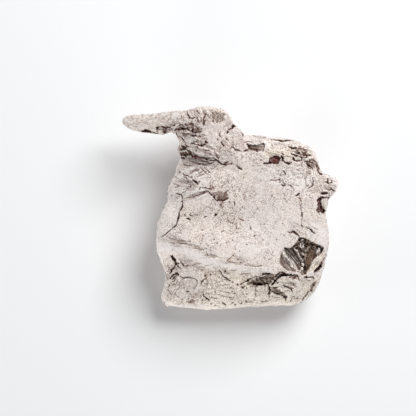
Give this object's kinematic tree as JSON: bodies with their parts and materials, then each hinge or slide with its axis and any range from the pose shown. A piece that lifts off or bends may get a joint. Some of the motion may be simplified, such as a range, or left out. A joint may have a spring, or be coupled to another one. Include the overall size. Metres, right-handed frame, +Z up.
{
  "type": "iron meteorite specimen",
  "caption": "Torn, pale-skinned iron meteorite with a side arm, folded neck and a dark faceted inclusion in an open pocket, lying on a flat facet.",
  "frame": {"origin": "middle of the bounding box in X and Y, at the height of the flat facet that the mass rests on", "axes": "+Z up out of the resting facet; +X from the tip of the torn arm towards the knob on the right flank; +Y from the sloping lower band towards the neck"},
  "size_m": [0.0863, 0.0817, 0.04],
  "materials": {
    "pale_skin": "matte",
    "dark_mineral": "satin"
  },
  "bodies": {
    "root": {"iron_mass": "pale_skin", "dark_inclusion": "dark_mineral"}
  },
  "joints": []
}
